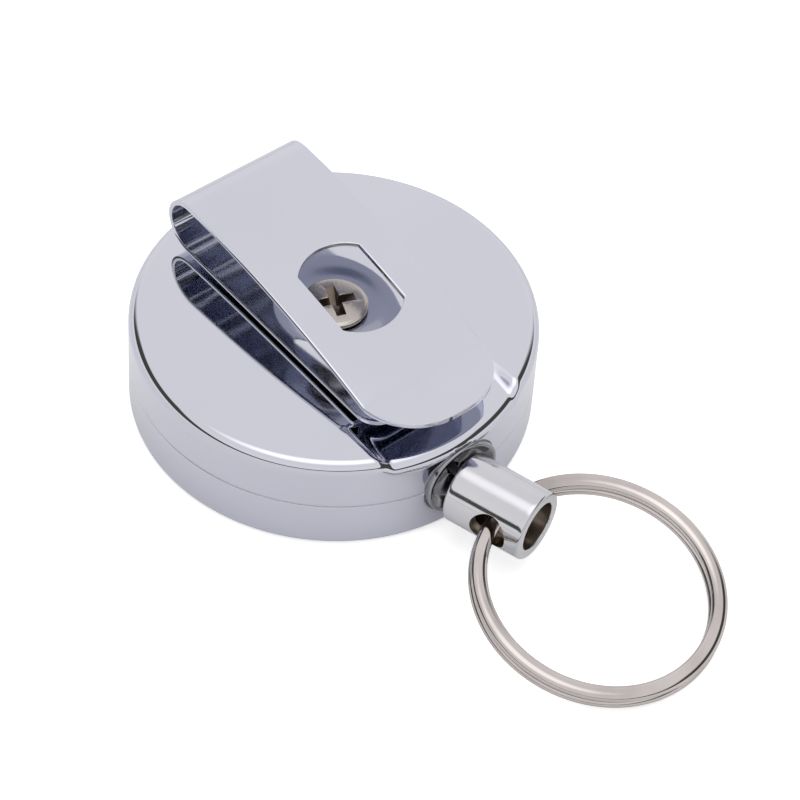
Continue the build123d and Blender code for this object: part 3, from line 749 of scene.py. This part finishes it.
def buildClip():
    sizes = clipSizes
    path, baseReach, armReach, half = clipPath()
    lines = spread(-half, half, sizes["cell"])

    def outside(zone, x, y):
        if zone == "fold":
            return abs(y) - half
        if zone == "base":
            end = endRounding(x, y, baseReach, half, sizes["baseCorner"])
            return max(end, sizes["screwHole"] - hypot(x, y))
        end = endRounding(x, y, armReach, half, sizes["tipCorner"])
        window = max(hypot(x - sizes["windowAt"], y) - sizes["windowRadius"],
                     abs(y) - sizes["windowHalf"])
        return max(end, -window)

    points, rows, zones, slopes = [], [], [], []
    for i, (place, zone) in enumerate(path):
        ahead = path[min(i + 1, len(path) - 1)][0] - path[max(i - 1, 0)][0]
        row = []
        for y in lines:
            row.append(len(points))
            points.append([place.x, y, place.y])
            zones.append(zone)
            slopes.append(ahead.y / ahead.x if abs(ahead.x) > 1e-6 else 0.0)
        rows.append(row)
    kept, cut = [], []
    for face in skin(rows, False, False):
        x = sum(points[i][0] for i in face) / 4
        y = sum(points[i][1] for i in face) / 4
        (kept if outside(zones[face[0]], x, y) < 0 else cut).append(face)
    rim = {i for face in cut for i in face} & {i for face in kept for i in face}
    rim |= {i for face in kept for i in face
            if outside(zones[i], points[i][0], points[i][1]) > 1e-6}
    nudge = 1e-3
    for i in rim:
        for repeat in range(3):
            x, y, z = points[i]
            off = outside(zones[i], x, y)
            right, left = outside(zones[i], x + nudge, y), outside(zones[i], x - nudge, y)
            above, below = outside(zones[i], x, y + nudge), outside(zones[i], x, y - nudge)
            gradientX = (right - left) / (2 * nudge)
            gradientY = (above - below) / (2 * nudge)
            size = max(gradientX ** 2 + gradientY ** 2, 0.25)
            step = -off * gradientX / size
            points[i] = [x + step, y - off * gradientY / size, z + step * slopes[i]]
    for i, (x, y, z) in enumerate(points):
        if zones[i] == "base":
            run = sizes["dimpleOuter"] - sizes["dimpleInner"]
            out = (hypot(x, y) - sizes["dimpleInner"]) / run
            points[i][2] = z - sizes["dimpleDepth"] * (1 - ease(out))
    clip = newPiece("beltClip", points, kept, finishes["chrome_clip"])
    thicken(clip, sizes["thickness"], 0)
    breakEdges(clip, sizes["edge"], 2, 50)
    settle(clip)
    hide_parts("clip_base", "clip_arm")
    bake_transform(clip)


buildClip()
print("belt clip is folded")


# ---- clip screw
screwSizes = dict(
    crown=0.22, sideHeight=0.3, shank=1.5, thread=0.5, root=1.25,
    recessSpan=4.0, recessWidth=1.0, recessDepth=1.3, recessFloor=(0.5, 0.3), recessTurn=-20.0,
    soften=0.05, crownSag=0.02, crownShare=0.45, shoulderShare=0.88, threadStart=0.8,
    threadEnd=1.2, tipLength=0.5, tipShare=0.7, cutterRise=0.3, mouthDepth=0.25,
    mouthFlare=(0.15, 0.04), mouthNeck=(0.05, 0.03),
)


def buildScrew():
    sizes = screwSizes
    low, high = boxOf("clip_screw")
    under = boxOf("lock_washer")[1].z
    headRadius = high.x
    corners = [
        (high.z, 0.0, 0), (high.z - sizes["crownSag"], headRadius * sizes["crownShare"], 0),
        (high.z - sizes["crown"], headRadius * sizes["shoulderShare"], 0.5),
        (under + sizes["sideHeight"], headRadius, 0.2),
        (under, headRadius, 0.08), (under, sizes["shank"], 0.05),
    ]
    outline = eased(corners, closed=False)
    z = under - sizes["threadStart"]
    while z > low.z + sizes["threadEnd"]:
        outline += [Vector((z, sizes["shank"])), Vector((z - sizes["thread"] / 2, sizes["root"]))]
        z -= sizes["thread"]
    outline += [
        Vector((low.z + sizes["tipLength"], sizes["shank"])),
        Vector((low.z, sizes["shank"] * sizes["tipShare"])), Vector((low.z, 0.0)),
    ]
    screw = turned("clipScrew", outline, (0, 0, 0), (0, 0, 1), 96, finishes["nickel_screw"], False)
    half, arm = sizes["recessSpan"] / 2, sizes["recessWidth"] / 2
    points, rows = [], []
    flare, neck = sizes["mouthFlare"], sizes["mouthNeck"]
    levels = (
        (high.z + sizes["cutterRise"], half + flare[0], arm + flare[1]),
        (high.z - sizes["mouthDepth"], half - neck[0], arm - neck[1]),
        (high.z - sizes["recessDepth"], *sizes["recessFloor"]),
    )
    for z, h, a in levels:
        cross = [(h, a), (a, a), (a, h), (-a, h), (-a, a), (-h, a),
                 (-h, -a), (-a, -a), (-a, -h), (a, -h), (a, -a), (h, -a)]
        rows.append([len(points) + i for i in range(12)])
        turn = Matrix.Rotation(radians(sizes["recessTurn"]), 2)
        points += [(*(turn @ Vector(corner)), z) for corner in cross]
    faces = skin(rows, False, True) + [rows[0], rows[-1][::-1]]
    # the recess walls take the dark plate: painted shade in the cross recess
    cutter = newPiece("recessCutter", points, faces, recessShadeFinish)
    screw.data.materials.append(recessShadeFinish)
    cutAway(screw, cutter)
    breakEdges(screw, sizes["soften"], 2, 35)
    evenNormals(screw)
    settle(screw)
    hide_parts("clip_screw")
    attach(screw, "root")


buildScrew()


# ---- end tube
tubeSizes = dict(
    length=8.6, tail=2.4, radius=3.55, bore=2.5, endWall=0.8, tailOut=1.25, tailIn=0.97,
    edge=0.3, crossHole=1.96, crossAt=5.1, soften=0.12,
)


def buildTube():
    sizes = tubeSizes
    along = jointAxis("nozzle_swivel")
    tail = jointPlace("nozzle_swivel") - along * sizes["tail"]
    corners = [
        (0.0, sizes["tailOut"], 0.1), (0.0, sizes["radius"], sizes["edge"]),
        (sizes["length"], sizes["radius"], sizes["edge"]),
        (sizes["length"], sizes["bore"], 0.14), (sizes["endWall"], sizes["bore"], 0.3),
        (sizes["endWall"], sizes["tailIn"], 0.05),
    ]
    tube = turned(
        "endTube", divided(eased(corners), 0.3), tail, along, 180, finishes["chrome_tube"]
    )
    across = Vector((-along.y, along.x, 0))
    reach = 2 * sizes["radius"]
    plug = [Vector((-reach, 0)), Vector((-reach, sizes["crossHole"])),
            Vector((reach, sizes["crossHole"])), Vector((reach, 0))]
    place = tail + along * sizes["crossAt"]
    # the cross hole's walls take the same darker plate: painted shade in the hole
    cutter = turned("holeCutter", plug, place, across, 96, boreShadeFinish, False)
    tube.data.materials.append(boreShadeFinish)
    cutAway(tube, cutter)
    boreShadeSlot = tube.data.materials.find(boreShadeFinish.name)
    for face in tube.data.polygons:  # the bore is left unpolished and rougher; its darker brownish plate is painted shade inside the tube
        reach = face.center / mm - tail
        away = (reach - along * reach.dot(along)).length
        if away < sizes["bore"] + 0.1 and reach.dot(along) < sizes["length"] - 0.2:
            face.material_index = boreShadeSlot
    breakEdges(tube, sizes["soften"], 2, 50)
    evenNormals(tube)
    settle(tube)
    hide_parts("nozzle")
    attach(tube, "nozzle_body")


buildTube()
print("end tube is drilled")


# ---- split ring
ringSizes = dict(
    meanRadius=11.6, width=1.6, coil=1.0, seam=0.06, corner=0.4, crossover=22.0,
    crossoverAt=180.0, shift=0.1, drop=0.1, floorGap=0.01, stepsPerTurn=240,
    sectionSteps=32, squareness=2.1,
)


def buildRing():
    sizes = ringSizes
    sideways = jointAxis("ring_swing")
    level = Vector((-sideways.y, sideways.x, 0))
    tubeAlong = jointAxis("nozzle_swivel")
    near = jointPlace("ring_swing") - tubeAlong * sizes["shift"]
    near.z -= sizes["drop"]
    thick = 2 * sizes["coil"] + sizes["seam"]
    reachOut = 2 * sizes["meanRadius"] + sizes["width"] / 2 - sizes["corner"]
    reachDown = thick / 2 - sizes["corner"]
    fall = near.z - sizes["floorGap"] - sizes["corner"]
    lean = asin(fall / hypot(reachOut, reachDown)) - atan2(reachDown, reachOut)
    forward = level * cos(lean) - Vector((0, 0, sin(lean)))
    normal = forward.cross(Vector((-level.y, level.x, 0)))
    centre = near + forward * sizes["meanRadius"]
    aside = normal.cross(forward)
    section = []
    for k in range(sizes["sectionSteps"]):
        turn = 2 * pi * k / sizes["sectionSteps"]
        power = 2 / sizes["squareness"]
        section.append((
            sizes["width"] / 2 * abs(cos(turn)) ** power * (1 if cos(turn) > 0 else -1),
            sizes["coil"] / 2 * abs(sin(turn)) ** power * (1 if sin(turn) > 0 else -1),
        ))
    coilLevel = (sizes["coil"] + sizes["seam"]) / 2
    first = sizes["crossoverAt"] + sizes["crossover"] / 2
    total = 720 - sizes["crossover"]
    steps = int(total / 360 * sizes["stepsPerTurn"])
    points, rows = [], []
    for i in range(steps + 1):
        angle = total * i / steps
        share = (angle - (360 - sizes["crossover"])) / sizes["crossover"]
        rise = coilLevel * (2 * ease(share) - 1)
        turn = radians(first + angle)
        out = forward * cos(turn) + aside * sin(turn)
        rows.append([len(points) + k for k in range(len(section))])
        for wide, thickness in section:
            points.append(
                centre + out * (sizes["meanRadius"] + wide)
                + normal * (rise + thickness)
            )
    faces = skin(rows, False, True) + [rows[0][::-1], rows[-1]]
    ring = newPiece("splitRing", points, faces, finishes["nickel_ring"])
    evenNormals(ring)
    settle(ring)
    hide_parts("split_ring")
    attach(ring, "ring_body")


buildRing()
print("split ring is wound")


# ---- cord
cordSizes = dict(radius=0.45, leadGap=0.05, cornerInset=2.4, pivotGap=0.1, sides=14,
                 stretchFrom=19.0, stretchTo=19.2, turnSteps=60, shiftShare=0.12)


def buildCordRun():
    # from the winding, round to the eyelet and into the end tube; it pays out at the eyelet
    sizes = cordSizes
    windingRadius = boxOf("cord_winding")[1].x
    leadRadius = windingRadius + sizes["radius"] + sizes["leadGap"]
    cornerX = caseRadius - sizes["cornerInset"]
    startTurn = acos(leadRadius / cornerX)
    route = [
        (leadRadius * cos(startTurn), leadRadius * sin(startTurn)), (cornerX, 0),
        (sizes["stretchFrom"] - 0.1, 0), (sizes["stretchTo"] + 0.1, 0),
        (jointPlace("nozzle_swivel").x - sizes["pivotGap"], 0),
    ]
    line = bpy.data.curves.new("cordRunLine", "CURVE")
    line.dimensions = "3D"
    line.bevel_depth = sizes["radius"] * mm
    line.bevel_resolution = 5
    line.use_fill_caps = True
    line.resolution_u = 14
    spline = line.splines.new("NURBS")
    spline.points.add(len(route) - 1)
    for point, (x, y) in zip(spline.points, route):
        point.co = (x * mm, y * mm, exitHeight * mm, 1)
    spline.order_u = 3
    spline.use_endpoint_u = True
    shape = bpy.data.objects.new("cordRunLine", line)
    scene.collection.objects.link(shape)
    bpy.context.view_layer.update()
    shown = shape.evaluated_get(bpy.context.evaluated_depsgraph_get())
    mesh = bpy.data.meshes.new_from_object(shown)
    bpy.data.objects.remove(shape, do_unlink=True)
    cord = bpy.data.objects.new("cordRun", mesh)
    scene.collection.objects.link(cord)
    mesh.materials.clear()
    mesh.materials.append(finishes["cord_nylon"])
    mesh.polygons.foreach_set("use_smooth", [True] * len(mesh.polygons))
    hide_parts("cord_lead", "cord_end")
    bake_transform(cord)


def buildWoundCord():
    # turns laid side by side, each stepping over to the next, then a short second layer
    sizes = cordSizes
    low, high = boxOf("cord_winding")
    radius = sizes["radius"]
    diameter = 2 * radius
    across = int((high.z - low.z) / diameter + 0.01)
    firstLevel = (low.z + high.z) / 2 - (across - 1) * radius
    outer = high.x - radius
    turns = [(outer - diameter, firstLevel + k * diameter) for k in range(across)]
    middle = (low.z + high.z) / 2
    turns += [(outer, middle + radius), (outer, middle - radius)]
    points, rows = [], []
    for i in range(len(turns) * sizes["turnSteps"] + 1):
        turn, part = divmod(i / sizes["turnSteps"], 1)
        here = turns[min(int(turn), len(turns) - 1)]
        after = turns[min(int(turn) + 1, len(turns) - 1)]
        share = ease((part - 1 + sizes["shiftShare"]) / sizes["shiftShare"])
        out, level = Vector(here).lerp(Vector(after), share)
        angle = 2 * pi * i / sizes["turnSteps"]
        rows.append([len(points) + k for k in range(sizes["sides"])])
        for k in range(sizes["sides"]):
            around = 2 * pi * k / sizes["sides"]
            reach = out + radius * cos(around)
            height = level + radius * sin(around)
            points.append((reach * cos(angle), reach * sin(angle), height))
    faces = skin(rows, False, True) + [rows[0][::-1], rows[-1]]
    cord = newPiece("woundCord", points, faces, finishes["cord_nylon"])
    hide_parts("cord_winding")
    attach(cord, "spool_body")


buildCordRun()
buildWoundCord()
print("cord is wound and led out")

# ---- camera
cameraSet = dict(
    azimuth=48.07, elevation=48.22, roll=4.25, distance=343.2, aim=(6.888, -1.041),
    lens=155.3, sensor=36.0,
)


def buildCamera():
    turn = Matrix.Rotation(radians(cameraSet["azimuth"]), 3, "Z")
    lift, roll = radians(cameraSet["elevation"]), radians(cameraSet["roll"])
    right = turn @ Vector((1, 0, 0))
    back = turn @ Vector((0, -cos(lift), sin(lift)))
    up = back.cross(right)
    rolledRight = right * cos(roll) + up * sin(roll)
    rolledUp = up * cos(roll) - right * sin(roll)
    aim = rolledRight * cameraSet["aim"][0] + rolledUp * cameraSet["aim"][1]
    data = bpy.data.cameras.new("productCamera")
    data.lens, data.sensor_width = cameraSet["lens"], cameraSet["sensor"]
    data.clip_start, data.clip_end = 0.01, 20
    camera = bpy.data.objects.new("productCamera", data)
    scene.collection.objects.link(camera)
    axes = Matrix((rolledRight, rolledUp, back)).transposed().to_4x4()
    axes.translation = (aim + back * cameraSet["distance"]) * mm
    camera.matrix_world = axes
    scene.camera = camera
    return back


cameraBack = buildCamera()


# ---- floor, studio and light
def buildFloor():
    mesh = bpy.data.meshes.new("paleFloor")
    size, drop = 12.0, -0.00002
    mesh.from_pydata(
        [(-size, -size, drop), (size, -size, drop), (size, size, drop), (-size, size, drop)],
        [], [(0, 1, 2, 3)],
    )
    floor = bpy.data.objects.new("paleFloor", mesh)
    scene.collection.objects.link(floor)
    finish, tree, shader = newFinish("paleFloorPaint")
    noise = addNode(tree, "ShaderNodeTexNoise", {"Scale": 3.0, "Detail": 2.0})
    wire(tree, stretched(tree, (1, 1, 1)), "Vector", noise, "Vector")
    colour = mixColour(tree, (noise, "Fac"), (0.80, 0.80, 0.80, 1), (0.82, 0.82, 0.82, 1))
    wire(tree, colour, 2, shader, "Base Color")
    shader.inputs["Roughness"].default_value = 0.9
    shader.inputs["Specular IOR Level"].default_value = 0.0
    shader.inputs["Emission Strength"].default_value = 0.55
    rays = addNode(tree, "ShaderNodeLightPath")
    inGloss = mixColour(tree, (rays, "Is Glossy Ray"), (1, 1, 1, 1), (0.09, 0.09, 0.10, 1))
    wire(tree, inGloss, 2, shader, "Emission Color")
    floor.data.materials.append(finish)


def buildStudio():
    world = bpy.data.worlds.new("softStudio")
    scene.world = world
    world.use_nodes = True
    tree = world.node_tree
    tree.nodes.clear()
    coords = addNode(tree, "ShaderNodeTexCoord")
    split = addNode(tree, "ShaderNodeSeparateXYZ")
    wire(tree, coords, "Generated", split, "Vector")
    ramp = addNode(tree, "ShaderNodeValToRGB")
    wire(tree, split, "Z", ramp, "Fac")
    stops = [
        (0.0, (0.82, 0.80, 0.80)), (0.06, (1.02, 1.0, 1.0)), (0.5, (1.07, 1.05, 1.05)),
        (0.75, (1.03, 1.01, 1.01)), (0.90, (1.03, 1.01, 1.01)), (0.97, (1.75, 1.72, 1.72)),
    ]
    elements = ramp.color_ramp.elements
    while len(elements) < len(stops):
        elements.new(0.5)
    for element, (place, colour) in zip(elements, stops):
        element.position = place
        element.color = (*colour, 1)
    # a dark gap between the tent's low wall and its roof, at the sides and the front only
    away = Vector((-cameraBack.x, -cameraBack.y, 0)).normalized()
    facing = addNode(tree, "ShaderNodeVectorMath", operation="DOT_PRODUCT")
    facing.inputs[1].default_value = away
    wire(tree, coords, "Generated", facing, 0)
    squared = mathNode(tree, "MULTIPLY", (split, "Z"), (split, "Z"))
    flat = mathNode(tree, "SQRT", (mathNode(tree, "SUBTRACT", 1.0001, (squared, 0)), 0))
    bearing = mathNode(tree, "DIVIDE", (facing, "Value"), (flat, 0))
    level = addNode(
        tree, "ShaderNodeMapRange",
        {"From Min": -1.0, "From Max": 0.0, "To Min": 0.20, "To Max": 0.50},
    )
    wire(tree, bearing, 0, level, "Value")
    breadth = addNode(
        tree, "ShaderNodeMapRange",
        {"From Min": -1.0, "From Max": 0.0, "To Min": 0.06, "To Max": 0.22},
    )
    wire(tree, bearing, 0, breadth, "Value")
    offLevel = mathNode(tree, "SUBTRACT", (split, "Z"), (level, 0))
    offShare = mathNode(tree, "DIVIDE", (mathNode(tree, "ABSOLUTE", (offLevel, 0)), 0), (breadth, 0))
    gap = addNode(
        tree, "ShaderNodeMapRange",
        {"From Min": 0.7, "From Max": 1.0, "To Min": 1.0, "To Max": 0.0},
        interpolation_type="SMOOTHSTEP",
    )
    wire(tree, offShare, 0, gap, "Value")
    sideOnly = addNode(
        tree, "ShaderNodeMapRange",
        {"From Min": 0.62, "From Max": 0.85, "To Min": 0.95, "To Max": 0.0},
        interpolation_type="SMOOTHSTEP",
    )
    wire(tree, bearing, 0, sideOnly, "Value")
    dark = mathNode(tree, "MULTIPLY", (gap, 0), (sideOnly, 0))
    shade = mixColour(tree, (dark, 0), (ramp, 0), (0.03, 0.03, 0.02, 1))
    rays = addNode(tree, "ShaderNodeLightPath")
    shown = mixColour(tree, (rays, "Is Camera Ray"), (shade, 2), (1, 1, 1, 1))
    light = addNode(tree, "ShaderNodeBackground", {"Strength": 1.0})
    out = addNode(tree, "ShaderNodeOutputWorld")
    wire(tree, shown, 2, light, "Color")
    wire(tree, light, "Background", out, "Surface")


def addSoftbox(name, place, aim, size, power):
    data = bpy.data.lights.new(name, "AREA")
    data.shape = "RECTANGLE"
    data.size, data.size_y = size
    data.energy = power
    box = bpy.data.objects.new(name, data)
    scene.collection.objects.link(box)
    box.location = place
    box.rotation_euler = (Vector(aim) - Vector(place)).to_track_quat("-Z", "Y").to_euler()
    return box


buildFloor()
buildStudio()
overhead = addSoftbox("overheadBox", (0.0, 0.0, 0.9), (0.01, 0, 0), (0.6, 0.6), 1.2)
overhead.visible_glossy = False  # it lights the floor and the cord, the tent gives the gloss
scene.view_settings.view_transform = "Standard"
scene.cycles.max_bounces = 20
scene.cycles.glossy_bounces = 16
